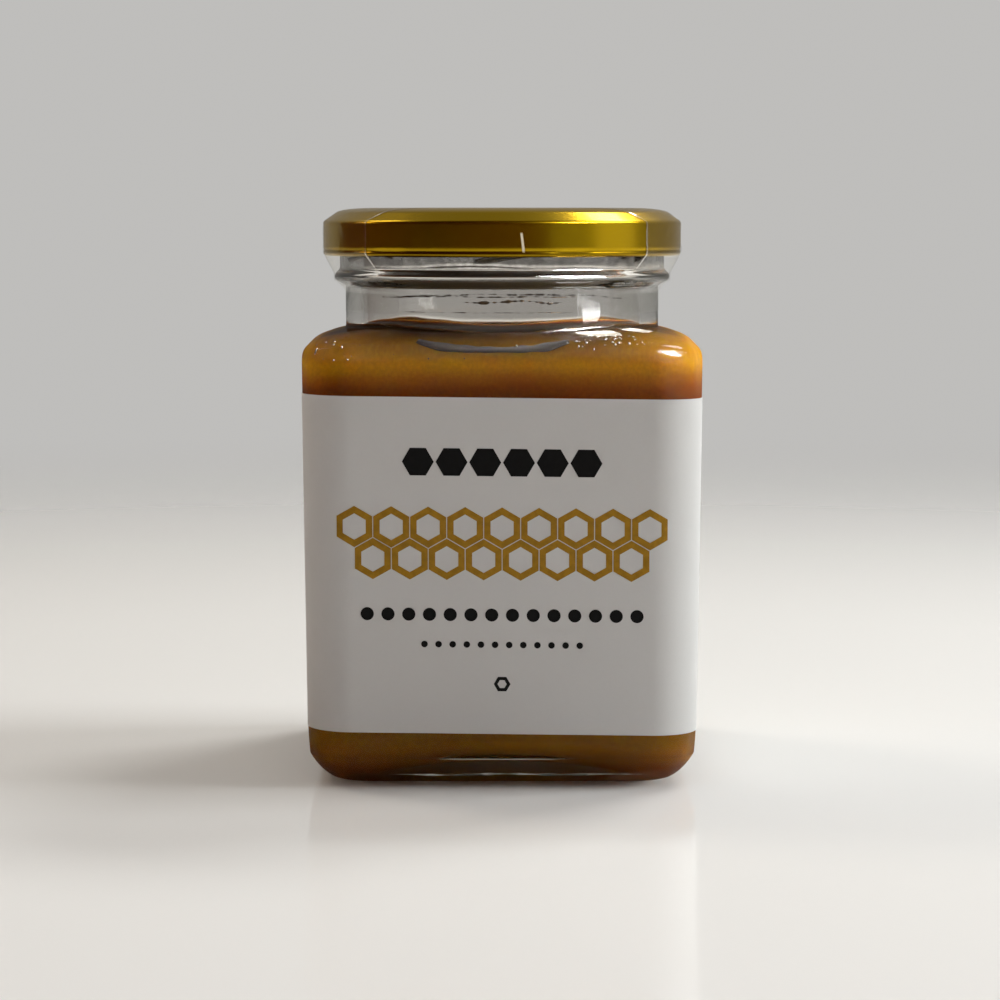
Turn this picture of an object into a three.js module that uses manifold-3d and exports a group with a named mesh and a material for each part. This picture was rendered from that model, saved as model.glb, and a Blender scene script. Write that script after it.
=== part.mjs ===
// A square glass jar of honey with a round neck, a twist-off metal lid, a paper label around
// the body and a strip of clear sealing tape over the lid.
// Millimetres, +Z up, the front towards -Y, the origin under the middle of the base.
import * as THREE from "three";
import { mergeVertices } from "three/addons/utils/BufferGeometryUtils.js";
import Module from "manifold-3d";

const wasm = await Module();
wasm.setup();

// Driving dimensions of the glass body
const BODY_HALF_TOP = 45.75; // half width across the flats, under the shoulder
const BODY_HALF_FOOT = 44.65; // half width that the straight wall would have at the heel's crease
const CORNER_CENTRE = 33.9; // distance from both middle planes to the corner rounding's centre
const LEAST_CORNER = 5; // smallest corner rounding, on the rings of the base
const WALL = 4; // glass thickness of the walls
const FOOT_CURVE = 13; // height under which the wall draws in
const FOOT_DRAW_IN = 0.35; // how far it has drawn in at the heel's crease

// Driving dimensions of the base
const FOOT_TOP = 6.6; // height of the crease between heel and wall
const REST_OUTER = 35.2; // half width of the resting ring, outside
const REST_INNER = 32.2; // half width of the resting ring, inside
const HEEL_GUIDE_OUT = 5.6; // guide point of the heel's curve, out from the resting ring
const HEEL_GUIDE_UP = 0.75; // and up from it
const PUSH_UP = 3; // rise of the underside in the middle
const FLOOR_EDGE = 4.2; // height of the inner floor along its edge
const FLOOR_MIDDLE = 9; // height of the inner floor in the middle
const INNER_HEEL = 5; // rounding between the inner floor and the wall
const SIDE_RISE = 2.9; // how much higher the inner floor's edge is at the middle of a side
const SIDE_HALF = 40; // degrees to both sides over which the changes at a side's middle run out
const SIDE_RISE_TOP = 16; // height on the inner wall where it has run out

// Driving dimensions of the shoulder, neck and mouth
const SHOULDER_FOOT = 95.95; // height where the outer wall starts to curve in
const SHOULDER_RISE = 8.2; // height of the outer shoulder's curve
const SHOULDER_TURN = 80; // degrees of its quarter curve before the hollow under the neck
const SHOULDER_SQUARE = 1.6; // power of the cosine by which the square form goes over into the round
const SHOULDER_LIFT = 0.5; // power of the sine by which the shoulder rises
const INNER_SHOULDER_FOOT = 95; // height where the inner wall starts to curve in
const INNER_SHOULDER_RISE = 6.9; // height of the inner shoulder's curve
const INNER_SHOULDER_TURN = 76; // degrees of its quarter curve before it runs out in the bore
const BORE_FOOT = 102.8; // height where it has run out
const NECK_ROOT = 105.6; // height where the shoulder's hollow runs out on the neck
const SIDE_DROP = 0.8; // how much lower that is at the middle of a side, where the shoulder is short
const NECK_RADIUS = 37.25; // outside of the neck
const BORE_RADIUS = 33; // inside of the neck
const BEAD_RADIUS = 39.9; // outside of the round bead under the lid
const BEAD_LOW = 113.7; // underside of the bead
const BEAD_HIGH = 117.4; // top of the bead
const FINISH_RADIUS = 38.65; // outside of the mouth over the bead
const RIM_TOP = 130; // top of the glass rim
const RIM_ROUND = 1.8; // rounding of the rim's edges

// Driving dimensions of the thread, six short ridges around the mouth
const THREADS = 6;
const THREAD_RADIUS = 40.5; // crest of the ridges
const THREAD_HEIGHT = 2.6; // height of a ridge at the wall
const THREAD_CHAMFER = 0.7; // bevel along the crest
const THREAD_START = -98; // degrees, lower end of the ridge nearest the front
const THREAD_SWEEP = 52; // degrees that a ridge covers
const THREAD_LOW = 120.6; // middle of a ridge at its lower end
const THREAD_RISE = 5.6; // rise along a ridge

// Driving dimensions of the honey
const HONEY_TOP = 102.2; // level of the honey in the middle
const HONEY_EDGE = 104.5; // height that the honey clings to on the bore
const HONEY_EDGE_DIP = 1.7; // how much lower that is at the front and the back
const HONEY_EDGE_RUN = 2.6; // distance from the bore over which it falls off
const FIT = 0.3; // clearance between pieces that touch

// Driving dimensions of the lid
const LID_RADIUS = 42.55; // outside of the skirt
const LID_BOTTOM = 120.6; // lower edge of the curl
const LID_CROWN = 131.75; // highest ring of the top
const CROWN_RADIUS = 31; // radius of that ring
const PANEL_RADIUS = 27; // radius of the sunk middle panel
const PANEL_DROP = 0.8; // depth of the sunk middle panel
const CROWN_GUIDE = 37.3; // guide point of the curve from that ring to the bevel
const BEVEL_TOP_RADIUS = 39.4; // radius where the top turns into the bevel
const BEVEL_TOP_DROP = 1; // drop from the crown to that edge
const SKIRT_TOP = 128.6; // height where the bevel turns into the skirt
const SHEET = 0.5; // thickness of the lid
const CURL_RADIUS = 0.75; // rounding of the rolled lower edge
const LUGS = 6;
const LUG_START = -67.5; // degrees, the lug nearest the front
const LUG_SWEEP = 13; // degrees that a lug covers
const LUG_REACH = 39.6; // inner radius of the lugs
const LUG_TOP = 121.5; // top of the lugs

// Driving dimensions of the label and the tape
const LABEL_LOW = 12.6; // lower edge at the middle of the front
const LABEL_HIGH = 89.2; // upper edge at the middle of the front
const LABEL_SLANT = 0.65; // degrees that the label runs down towards +X
const LABEL_THICK = 0.2;
const TAPE_WIDTH = 50; // width of the strip, along Y
const TAPE_MIDDLE = -2.9; // place of the strip's middle line, along Y
const TAPE_TURN = 2.05; // degrees that the strip is turned around Z
const TAPE_THICK = 0.2;
const TAPE_END = 107.5; // height of both ends of the strip on the neck

// How finely the round forms are divided
const FLAT_STEPS = 6; // steps along one flat side
const CORNER_STEPS = 6; // steps around one corner
const SIDE_STEPS = FLAT_STEPS + CORNER_STEPS;
const STEPS_AROUND = 4 * SIDE_STEPS;
const LID_STEPS = 32;
const TAPE_STEPS_ACROSS = 8;

const radians = THREE.MathUtils.degToRad;
const mix = THREE.MathUtils.lerp;

// Distance from the axis to a rounded square of the given half width, in a direction.
function roundedSquare(half, angle) {
  const quarter = Math.PI / 2;
  const turned = THREE.MathUtils.euclideanModulo(angle + quarter / 2, quarter) - quarter / 2;
  const across = Math.cos(turned);
  const along = Math.abs(Math.sin(turned));
  const corner = Math.min(half, Math.max(half - CORNER_CENTRE, LEAST_CORNER));
  const centre = half - corner;
  if (half * along <= centre * across) return half / across;
  const sideways = centre * (across - along);
  return centre * (across + along) + Math.sqrt(corner ** 2 - sideways ** 2);
}

// Direction of one step around the body, closer together around the corners.
function stepAngle(step) {
  const side = Math.floor(step / SIDE_STEPS);
  const within = step % SIDE_STEPS;
  const flatEnd = Math.atan2(CORNER_CENTRE, BODY_HALF_TOP);
  let angle = mix(-flatEnd, flatEnd, within / FLAT_STEPS);
  if (within > FLAT_STEPS) {
    const around = ((within - FLAT_STEPS) / CORNER_STEPS) * (Math.PI / 2);
    const corner = BODY_HALF_TOP - CORNER_CENTRE;
    const x = CORNER_CENTRE + corner * Math.cos(around);
    const y = CORNER_CENTRE + corner * Math.sin(around);
    angle = Math.atan2(y, x);
  }
  return angle + side * (Math.PI / 2);
}

// Rings that a loft runs through: a rounded square, a circle, and a blend of both. A ring can
// have a lift, by which it rises in some directions.
function squareRing(z, half) {
  return { z, reach: (angle) => roundedSquare(half, angle) };
}

function roundRing(z, radius) {
  return { z, reach: () => radius };
}

function blendRing(z, half, radius, square) {
  return { z, reach: (angle) => mix(radius, roundedSquare(half, angle), square) };
}

// A closed body through rings, turned around Z and squared off ring by ring.
function loft(rings) {
  const profile = rings.map((ring) => new THREE.Vector2(ring.reach(0), ring.z));
  const geometry = new THREE.LatheGeometry(profile, STEPS_AROUND);
  const position = geometry.getAttribute("position");
  for (let i = 0; i < position.count; i++) {
    const ring = rings[i % rings.length];
    const angle = stepAngle(Math.floor(i / rings.length) % STEPS_AROUND);
    const reach = ring.reach(angle);
    const lift = ring.lift ? ring.lift(angle) : 0;
    position.setXYZ(i, reach * Math.cos(angle), reach * Math.sin(angle), ring.z + lift);
  }
  return geometry;
}

// Joins closed geometries into one.
function join(geometries) {
  const solids = geometries.map((geometry) => {
    const bare = geometry.clone();
    bare.deleteAttribute("normal");
    bare.deleteAttribute("uv");
    const merged = mergeVertices(bare, 1e-3);
    const vertProperties = new Float32Array(merged.attributes.position.array);
    const triVerts = new Uint32Array(merged.index.array);
    return new wasm.Manifold(new wasm.Mesh({ numProp: 3, vertProperties, triVerts }));
  });
  const mesh = solids.reduce((whole, solid) => whole.add(solid)).getMesh();
  const joined = new THREE.BufferGeometry();
  joined.setAttribute("position", new THREE.BufferAttribute(mesh.vertProperties, 3));
  joined.setIndex(new THREE.BufferAttribute(mesh.triVerts, 1));
  joined.computeVertexNormals();
  return joined;
}

// Half width of the body across its flats at a height.
function bodyHalf(z) {
  const straight = mix(BODY_HALF_FOOT, BODY_HALF_TOP, (z - FOOT_TOP) / (SHOULDER_FOOT - FOOT_TOP));
  return straight - FOOT_DRAW_IN * Math.max((FOOT_CURVE - z) / (FOOT_CURVE - FOOT_TOP), 0) ** 2;
}

// Half width of the inside across its flats, a clearance further in for what fills it.
function insideHalf(z, clearance = 0) {
  return bodyHalf(z) - WALL - clearance;
}

// One at the middle of each side, running out to nothing towards the corners.
function nearnessToSide(angle) {
  const quarter = Math.PI / 2;
  const turned = THREE.MathUtils.euclideanModulo(angle + quarter / 2, quarter) - quarter / 2;
  return Math.max(1 - (Math.tan(turned) / Math.tan(radians(SIDE_HALF))) ** 2, 0);
}

// The ring, raised towards the middle of each side, where the base is thickest.
function raisedRing(ring) {
  const height = THREE.MathUtils.smoothstep(SIDE_RISE_TOP - ring.z, 0, SIDE_RISE_TOP - FLOOR_EDGE);
  const rise = (angle) => SIDE_RISE * height * THREE.MathUtils.smoothstep(ring.reach(angle), 4, 34);
  return { ...ring, lift: (angle) => rise(angle) * nearnessToSide(angle) };
}

// The ring, lowered towards the middle of each side, if it is near the neck's foot.
function loweredRing(ring) {
  const drop = SIDE_DROP * THREE.MathUtils.smoothstep(ring.z, SHOULDER_FOOT + 4, NECK_ROOT - 1);
  return { ...ring, lift: (angle) => -drop * nearnessToSide(angle) };
}

// Rings of the inner floor and wall, upwards from the axis to under the shoulder.
function insideRings(clearance) {
  const edge = insideHalf(FLOOR_EDGE + INNER_HEEL, clearance) - INNER_HEEL;
  const rings = [];
  for (const out of [0, 0.6]) {
    const z = mix(FLOOR_MIDDLE, FLOOR_EDGE, out ** 2) + clearance;
    rings.push(blendRing(z, edge * out, edge * out, out ** 2));
  }
  for (let i = 0; i <= 3; i++) {
    const turn = (i / 3) * (Math.PI / 2);
    const z = FLOOR_EDGE + clearance + INNER_HEEL * (1 - Math.cos(turn));
    rings.push(squareRing(z, edge + INNER_HEEL * Math.sin(turn)));
  }
  rings.push(squareRing(SIDE_RISE_TOP, insideHalf(SIDE_RISE_TOP, clearance)));
  return rings.map(raisedRing);
}

// Rings of a shoulder that turns from the square wall to the round neck, and of the hollow in
// which it meets the neck.
function shoulderRings(foot, rise, lastTurn, half, radius, neckHeight, steps) {
  const spot = (turn) => {
    const square = Math.cos(turn) ** SHOULDER_SQUARE;
    return new THREE.Vector2(square, foot + rise * Math.sin(turn) ** SHOULDER_LIFT);
  };
  const line = [];
  for (let i = 0; i <= steps; i++) line.push(spot(radians(lastTurn) * (i / steps) ** 2));
  const end = line.at(-1);
  const before = spot(radians(lastTurn) * 0.95);
  const slope = (end.y - before.y) / (before.x - end.x);
  const guide = new THREE.Vector2(0, end.y + slope * end.x);
  const hollow = new THREE.QuadraticBezierCurve(end, guide, new THREE.Vector2(0, neckHeight));
  line.push(...hollow.getPoints(2).slice(1));
  return line.map((point) => blendRing(point.y, half, radius, point.x));
}

// Rings of the inner shoulder, upwards from the wall to the bore.
function insideShoulder(clearance) {
  const half = insideHalf(INNER_SHOULDER_FOOT, clearance);
  const rise = INNER_SHOULDER_RISE - clearance;
  const bore = BORE_RADIUS - clearance;
  return shoulderRings(INNER_SHOULDER_FOOT, rise, INNER_SHOULDER_TURN, half, bore, BORE_FOOT, 4);
}

// One ridge of the thread, rising as it runs around the mouth.
function threadRidge(index) {
  const sweep = radians(THREAD_SWEEP);
  const crest = THREAD_RADIUS - THREAD_CHAMFER;
  const root = FINISH_RADIUS - 2 * THREAD_CHAMFER;
  const shape = new THREE.Shape();
  shape.absarc(0, 0, crest, 0, sweep, false);
  shape.absarc(0, 0, root, sweep, 0, true);
  const depth = THREAD_HEIGHT - 2 * THREAD_CHAMFER;
  const bevel = { bevelSize: THREAD_CHAMFER, bevelThickness: THREAD_CHAMFER, bevelSegments: 1 };
  const geometry = new THREE.ExtrudeGeometry(shape, { depth, curveSegments: 4, ...bevel });
  const position = geometry.getAttribute("position");
  for (let i = 0; i < position.count; i++) {
    const along = Math.atan2(position.getY(i), position.getX(i)) / sweep;
    position.setZ(i, position.getZ(i) - depth / 2 + THREAD_LOW + THREAD_RISE * along);
  }
  return geometry.rotateZ(radians(THREAD_START + (index * 360) / THREADS));
}

// The glass: from the middle of the underside out, up the outside, over the rim and down inside.
function jarGeometry() {
  const rings = [];
  for (let i = 0; i <= 3; i++) {
    const out = Math.sin((i / 3) * (Math.PI / 2));
    const half = REST_INNER * out;
    rings.push(blendRing(PUSH_UP * (1 - out ** 2), half, half, out ** 2));
  }

  const heel = new THREE.QuadraticBezierCurve(
    new THREE.Vector2(REST_OUTER, 0),
    new THREE.Vector2(REST_OUTER + HEEL_GUIDE_OUT, HEEL_GUIDE_UP),
    new THREE.Vector2(bodyHalf(FOOT_TOP), FOOT_TOP),
  );
  rings.push(...heel.getPoints(4).map((point) => squareRing(point.y, point.x)));
  for (const z of [mix(FOOT_TOP, FOOT_CURVE, 0.4), FOOT_CURVE]) rings.push(squareRing(z, bodyHalf(z)));
  const shoulder = [SHOULDER_FOOT, SHOULDER_RISE, SHOULDER_TURN, BODY_HALF_TOP, NECK_RADIUS];
  rings.push(...shoulderRings(...shoulder, NECK_ROOT, 5).map(loweredRing));

  rings.push(roundRing(BEAD_LOW, NECK_RADIUS));
  const beadMiddle = (BEAD_LOW + BEAD_HIGH) / 2;
  const beadHalf = (BEAD_HIGH - BEAD_LOW) / 2;
  for (const turn of [-50, -17, 17, 50].map(radians)) {
    const beadRoot = turn < 0 ? NECK_RADIUS : FINISH_RADIUS;
    const radius = mix(beadRoot, BEAD_RADIUS, Math.cos(turn));
    rings.push(roundRing(beadMiddle + beadHalf * Math.sin(turn), radius));
  }
  rings.push(roundRing(BEAD_HIGH, FINISH_RADIUS));

  for (let i = 0; i <= 2; i++) {
    const turn = (i / 2) * (Math.PI / 2);
    const z = RIM_TOP - RIM_ROUND * (1 - Math.sin(turn));
    rings.push(roundRing(z, FINISH_RADIUS - RIM_ROUND * (1 - Math.cos(turn))));
  }
  rings.push(roundRing(RIM_TOP, BORE_RADIUS + RIM_ROUND));
  rings.push(roundRing(RIM_TOP - RIM_ROUND, BORE_RADIUS));
  rings.push(...insideShoulder(0).reverse());
  rings.push(...insideRings(0).reverse());

  const ridges = Array.from({ length: THREADS }, (_, index) => threadRidge(index));
  return join([loft(rings), ...ridges]);
}

// The honey: fills the inside up to its level and clings to the foot of the bore.
function honeyGeometry() {
  const rings = [...insideRings(FIT), ...insideShoulder(FIT)];
  const radius = BORE_RADIUS - FIT;
  for (const inward of [0, 1.5 * HONEY_EDGE_RUN]) {
    const lift = (angle) => {
      const dip = Math.exp(-((Math.cos(angle) / 0.42) ** 2));
      const edge = HONEY_EDGE - HONEY_EDGE_DIP * dip - HONEY_TOP;
      return edge * Math.exp(-inward / HONEY_EDGE_RUN);
    };
    rings.push({ ...roundRing(HONEY_TOP, radius - inward), lift });
  }
  rings.push(roundRing(HONEY_TOP, 0));
  return loft(rings);
}

// Points at a distance to the right of a line, as seen along the line.
function besideLine(points, distance) {
  return points.map((point, i) => {
    const before = points[Math.max(i - 1, 0)];
    const after = points[Math.min(i + 1, points.length - 1)];
    const along = after.clone().sub(before).normalize();
    return new THREE.Vector2(point.x + along.y * distance, point.y - along.x * distance);
  });
}

// Outer line of the lid in section, from the axis out over the crown and down to the curl.
function lidLine() {
  const panel = LID_CROWN - PANEL_DROP;
  const line = new THREE.Path();
  line.moveTo(0, panel);
  line.lineTo(PANEL_RADIUS, panel);
  line.bezierCurveTo(PANEL_RADIUS + 2, panel, CROWN_RADIUS - 2, LID_CROWN, CROWN_RADIUS, LID_CROWN);
  line.quadraticCurveTo(CROWN_GUIDE, LID_CROWN, BEVEL_TOP_RADIUS, LID_CROWN - BEVEL_TOP_DROP);
  line.lineTo(LID_RADIUS - 0.3, SKIRT_TOP + 0.2);
  line.lineTo(LID_RADIUS, SKIRT_TOP - 0.4);
  line.lineTo(LID_RADIUS, LID_BOTTOM + 2 * CURL_RADIUS);
  return line.getPoints(3);
}

// One lug: a short block of the curl that reaches in under a thread ridge.
function lug(index) {
  const sweep = radians(LUG_SWEEP);
  const shape = new THREE.Shape();
  shape.absarc(0, 0, LID_RADIUS - CURL_RADIUS, 0, sweep, false);
  shape.absarc(0, 0, LUG_REACH, sweep, 0, true);
  const low = LID_BOTTOM + SHEET / 2;
  const options = { depth: LUG_TOP - low, curveSegments: 3, bevelEnabled: false };
  const geometry = new THREE.ExtrudeGeometry(shape, options);
  const start = LUG_START - LUG_SWEEP / 2 + (index * 360) / LUGS;
  return geometry.translate(0, 0, low).rotateZ(radians(start));
}

// The lid: one sheet turned around Z, with a rolled lower edge and lugs.
function lidGeometry() {
  const outside = lidLine();
  const inside = besideLine(outside, SHEET);
  inside[0].x = 0;
  const curl = new THREE.Path();
  const curlMiddle = LID_BOTTOM + CURL_RADIUS;
  curl.absarc(LID_RADIUS - CURL_RADIUS, curlMiddle, CURL_RADIUS, radians(150), radians(360), false);
  const profile = [...inside, ...curl.getPoints(5), ...outside.reverse()];
  const sheet = new THREE.LatheGeometry(profile, LID_STEPS).rotateX(Math.PI / 2);
  const lugs = Array.from({ length: LUGS }, (_, index) => lug(index));
  return join([sheet, ...lugs]);
}

// The label: a band around the body, slanted a little.
function labelGeometry() {
  const inner = (z) => squareRing(z, bodyHalf(z) + FIT);
  const outer = (z) => squareRing(z, bodyHalf(z) + FIT + LABEL_THICK);
  const front = [outer(LABEL_LOW), outer(LABEL_HIGH)];
  const back = [inner(LABEL_HIGH), inner(LABEL_LOW)];
  const geometry = loft([...front, ...back, outer(LABEL_LOW)]);
  const slope = Math.tan(radians(LABEL_SLANT));
  const position = geometry.getAttribute("position");
  for (let i = 0; i < position.count; i++) {
    position.setZ(i, position.getZ(i) - slope * position.getX(i));
  }
  return geometry;
}

// Radius and height of the tape's underside, from its end on the neck to the middle of the lid.
function tapeLine() {
  return [
    [NECK_RADIUS, TAPE_END],
    [NECK_RADIUS, BEAD_LOW - 1.5],
    [BEAD_RADIUS, mix(BEAD_LOW, BEAD_HIGH, 0.3)],
    [BEAD_RADIUS, mix(BEAD_LOW, BEAD_HIGH, 0.7)],
    [LID_RADIUS, LID_BOTTOM + CURL_RADIUS],
    [LID_RADIUS, mix(LID_BOTTOM, SKIRT_TOP, 0.5)],
    [LID_RADIUS, SKIRT_TOP - 0.4],
    [LID_RADIUS - 0.3, SKIRT_TOP + 0.2],
    [BEVEL_TOP_RADIUS, LID_CROWN - BEVEL_TOP_DROP],
    [mix(CROWN_GUIDE, BEVEL_TOP_RADIUS, 0.2), LID_CROWN - BEVEL_TOP_DROP * 0.4],
    [CROWN_RADIUS, LID_CROWN],
    [0, LID_CROWN],
  ].map(([radius, z]) => new THREE.Vector2(radius, z));
}

// The tape: a strip bent over the lid and down both sides of the neck, round where they are round.
function tapeGeometry() {
  const under = besideLine(tapeLine(), FIT);
  const over = besideLine(tapeLine(), FIT + TAPE_THICK);
  const half = under.length - 1;
  const geometry = new THREE.BoxGeometry(2, 1, 1, 2 * half, TAPE_STEPS_ACROSS, 1);
  const position = geometry.getAttribute("position");
  for (let i = 0; i < position.count; i++) {
    const along = position.getX(i);
    const step = Math.round((1 - Math.abs(along)) * half);
    const point = position.getZ(i) > 0 ? over[step] : under[step];
    const y = TAPE_MIDDLE + TAPE_WIDTH * position.getY(i);
    const out = step === half ? 0 : Math.sqrt(point.x ** 2 - y ** 2);
    position.setXYZ(i, Math.sign(along) * out, y, point.y);
  }
  return geometry.rotateZ(radians(TAPE_TURN));
}

const jar = new THREE.Group();

function addPiece(name, geometry, look) {
  const mesh = new THREE.Mesh(geometry, new THREE.MeshStandardMaterial(look));
  mesh.name = name;
  jar.add(mesh);
}

const clear = { roughness: 0.05, metalness: 0, transparent: true };
addPiece("jar", jarGeometry(), { color: 0xdfe6e2, opacity: 0.25, ...clear });
addPiece("honey", honeyGeometry(), { color: 0xb87418, roughness: 0.35, metalness: 0 });
addPiece("lid", lidGeometry(), { color: 0xb08a1c, roughness: 0.22, metalness: 1 });
addPiece("label", labelGeometry(), { color: 0xe9e8e6, roughness: 0.75, metalness: 0 });
addPiece("seal_tape", tapeGeometry(), { color: 0xf2f2ee, opacity: 0.2, ...clear });

export default jar;
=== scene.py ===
import math

import bpy
import numpy as np
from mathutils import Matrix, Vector


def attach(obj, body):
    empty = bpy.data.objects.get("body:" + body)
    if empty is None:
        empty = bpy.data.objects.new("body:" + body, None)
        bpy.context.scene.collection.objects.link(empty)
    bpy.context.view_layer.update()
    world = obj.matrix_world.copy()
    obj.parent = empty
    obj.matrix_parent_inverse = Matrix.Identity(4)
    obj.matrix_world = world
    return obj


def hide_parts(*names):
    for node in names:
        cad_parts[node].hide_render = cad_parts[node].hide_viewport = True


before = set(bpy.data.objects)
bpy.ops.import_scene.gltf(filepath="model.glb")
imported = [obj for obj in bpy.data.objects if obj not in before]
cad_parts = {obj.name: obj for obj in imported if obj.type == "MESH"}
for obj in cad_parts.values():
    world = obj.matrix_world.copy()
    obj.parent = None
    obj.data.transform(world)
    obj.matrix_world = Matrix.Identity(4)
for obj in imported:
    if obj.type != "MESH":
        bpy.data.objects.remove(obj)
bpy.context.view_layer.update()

# Sizes in millimetres, turned into metres where a mesh is made
MM = 0.001

# Glass body
BODY_HALF_TOP = 45.75
BODY_HALF_FOOT = 44.65
CORNER_CENTRE = 33.9
LEAST_CORNER = 5.0
WALL = 4.0
FOOT_CURVE = 13.0
FOOT_DRAW_IN = 0.35

# Base of the glass
FOOT_TOP = 6.6
CREASE_ROUND = 0.3
REST_OUTER = 35.2
REST_INNER = 32.2
PUSH_UP = 3.0
FLOOR_EDGE = 4.2
FLOOR_MIDDLE = 9.0
INNER_HEEL = 5.0
SIDE_RISE = 2.9
SIDE_RISE_HALF = math.radians(40)
SIDE_RISE_TOP = 16.0
SIDE_RISE_START = 4.0
SIDE_RISE_END = 34.0

# Shoulder, neck and mouth of the glass
SHOULDER_FOOT = 95.95
SHOULDER_RISE = 8.2
SHOULDER_TURN = math.radians(80)
SHOULDER_SQUARE = 1.6
SHOULDER_LIFT = 0.5
INNER_SHOULDER_FOOT = 95.0
INNER_SHOULDER_RISE = 6.9
INNER_SHOULDER_TURN = math.radians(76)
BORE_FOOT = 102.8
NECK_ROOT = 105.6
SIDE_DROP = 0.8
NECK_RADIUS = 37.25
BORE_RADIUS = 33.0
BORE_WAVES = 0.07
WAVES_START = 106.8
WAVES_FULL = 110.0
BEAD_RADIUS = 39.9
BEAD_LOW = 113.7
BEAD_HIGH = 117.4
BEAD_HOLLOW = 1.2
FINISH_RADIUS = 38.65
RIM_TOP = 130.0
RIM_ROUND = 1.8

# Thread ridges around the mouth
THREADS = 6
THREAD_RADIUS = 40.5
THREAD_HEIGHT = 2.8
THREAD_START = -98.0
THREAD_SWEEP = 52.0
THREAD_LOW = 120.6
THREAD_RISE = 5.6

# Honey
HONEY_TOP = 102.2
HONEY_EDGE = 104.5
HONEY_EDGE_DIP = 1.7
HONEY_EDGE_RUN = 2.6
INTO_WALL = 0.06
POCKET_SKIN = 0.05
SMEAR_HALF = 0.12

# Pale line in the base
STREAK_LEFT = -26.0
STREAK_RIGHT = 32.0
STREAK_HEIGHT = 2.6
STREAK_HALF = 0.36

# Lid
LID_RADIUS = 42.55
LID_BOTTOM = 120.6
LID_CROWN = 131.75
CROWN_RADIUS = 31.0
CROWN_GUIDE = 37.3
PANEL_RADIUS = 27.0
PANEL_BEND = 29.0
PANEL_DROP = 0.8
BEVEL_TOP_RADIUS = 39.4
BEVEL_TOP_DROP = 1.0
SKIRT_TOP = 128.6
SHEET = 0.4
CURL_RADIUS = 0.75
CURL_START = math.radians(130)
CURL_END = math.radians(392)
LUGS = 6
LUG_START = -67.5
LUG_HALF = 7.5
LUG_DEPTH = 0.22
LUG_ROOT = 122.7
GROOVE = 0.14
GROOVE_TOP = 122.9

# Label and tape
LABEL_LOW = 12.6
LABEL_HIGH = 89.2
LABEL_SLANT = math.radians(0.65)
LABEL_THICK = 0.14
LABEL_OVERLAP = 9.0
LABEL_GAP = 0.03
PRINT_LIFT = 0.03
TAPE_WIDTH = 50.0
TAPE_MIDDLE = -2.9
TAPE_TURN = math.radians(2.05)
TAPE_THICK = 0.06
TAPE_END = 107.5
TAPE_GAP = 0.05
FOLD_HEIGHT = 0.16

# How finely the round forms are divided
FLAT_STEPS = 44
CORNER_STEPS = 36
LID_STEPS = 320

# Camera, fitted to the photograph
CAMERA_BACK = 730.0
CAMERA_HEIGHT = 130.1
CAMERA_SIDE = -0.48
CAMERA_DROP = math.radians(5.34)
CAMERA_LENS = 109.7
CAMERA_SENSOR = 36.0


# Forms

def mix(low, high, share):
    return low + (high - low) * share


def smooth_step(low, high, value):
    share = np.clip((value - low) / (high - low), 0.0, 1.0)
    return share * share * (3.0 - 2.0 * share)


def bezier(points, count):
    """Points of a Bezier curve of any order, both ends included."""
    share = np.linspace(0.0, 1.0, count)[:, None]
    level = [np.array(point, float)[None, :] for point in points]
    while len(level) > 1:
        level = [mix(a, b, share) for a, b in zip(level, level[1:])]
    return level[0]


def chain(stretches):
    """Curves that follow on from one another, as one line."""
    return np.concatenate([stretches[0]] + [stretch[1:] for stretch in stretches[1:]])


def around_axis(reach, angle, z):
    """Points at distances from the axis, in directions and at heights."""
    return np.stack(np.broadcast_arrays(reach * np.cos(angle), reach * np.sin(angle), z), axis=-1)


def turn_about_axis(points, turn):
    x, y = points[..., 0].copy(), points[..., 1].copy()
    points[..., 0] = x * math.cos(turn) - y * math.sin(turn)
    points[..., 1] = x * math.sin(turn) + y * math.cos(turn)
    return points


def turn_from_side(angle):
    """How far each direction is turned away from the middle of the side that it meets."""
    return (angle + math.pi / 4) % (math.pi / 2) - math.pi / 4


def rounded_square(half, angle):
    """Distance from the axis to a rounded square in the given directions."""
    turned = turn_from_side(angle)
    across = np.cos(turned)
    along = np.abs(np.sin(turned))
    corner = np.minimum(half, np.maximum(half - CORNER_CENTRE, LEAST_CORNER))
    centre = half - corner
    sideways = centre * (across - along)
    rounded = centre * (across + along) + np.sqrt(np.maximum(corner**2 - sideways**2, 0.0))
    return np.where(half * along <= centre * across, half / across, rounded)


def directions_around():
    """Directions around the body from -45 degrees on, closer together around the corners."""
    flat_end = math.atan2(CORNER_CENTRE, BODY_HALF_TOP)
    flat = np.linspace(-flat_end, flat_end, FLAT_STEPS, endpoint=False)
    turn = np.linspace(0.0, math.pi / 2, CORNER_STEPS, endpoint=False)
    corner = BODY_HALF_TOP - CORNER_CENTRE
    rounding = np.arctan2(CORNER_CENTRE + corner * np.sin(turn), CORNER_CENTRE + corner * np.cos(turn))
    side = np.concatenate([flat, rounding])
    return np.concatenate([side + quarter * math.pi / 2 for quarter in range(4)])


AROUND = directions_around()


def body_half(z):
    """Half width of the glass across its flats at a height, drawn in a little towards the foot."""
    straight = mix(BODY_HALF_FOOT, BODY_HALF_TOP, (z - FOOT_TOP) / (SHOULDER_FOOT - FOOT_TOP))
    return straight - FOOT_DRAW_IN * np.maximum((FOOT_CURVE - z) / (FOOT_CURVE - FOOT_TOP), 0.0) ** 2


def shoulder_share(turn):
    """Share of the rise and share of squareness along a shoulder that turns from wall to neck."""
    return np.sin(turn) ** SHOULDER_LIFT, np.cos(turn) ** SHOULDER_SQUARE


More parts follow.
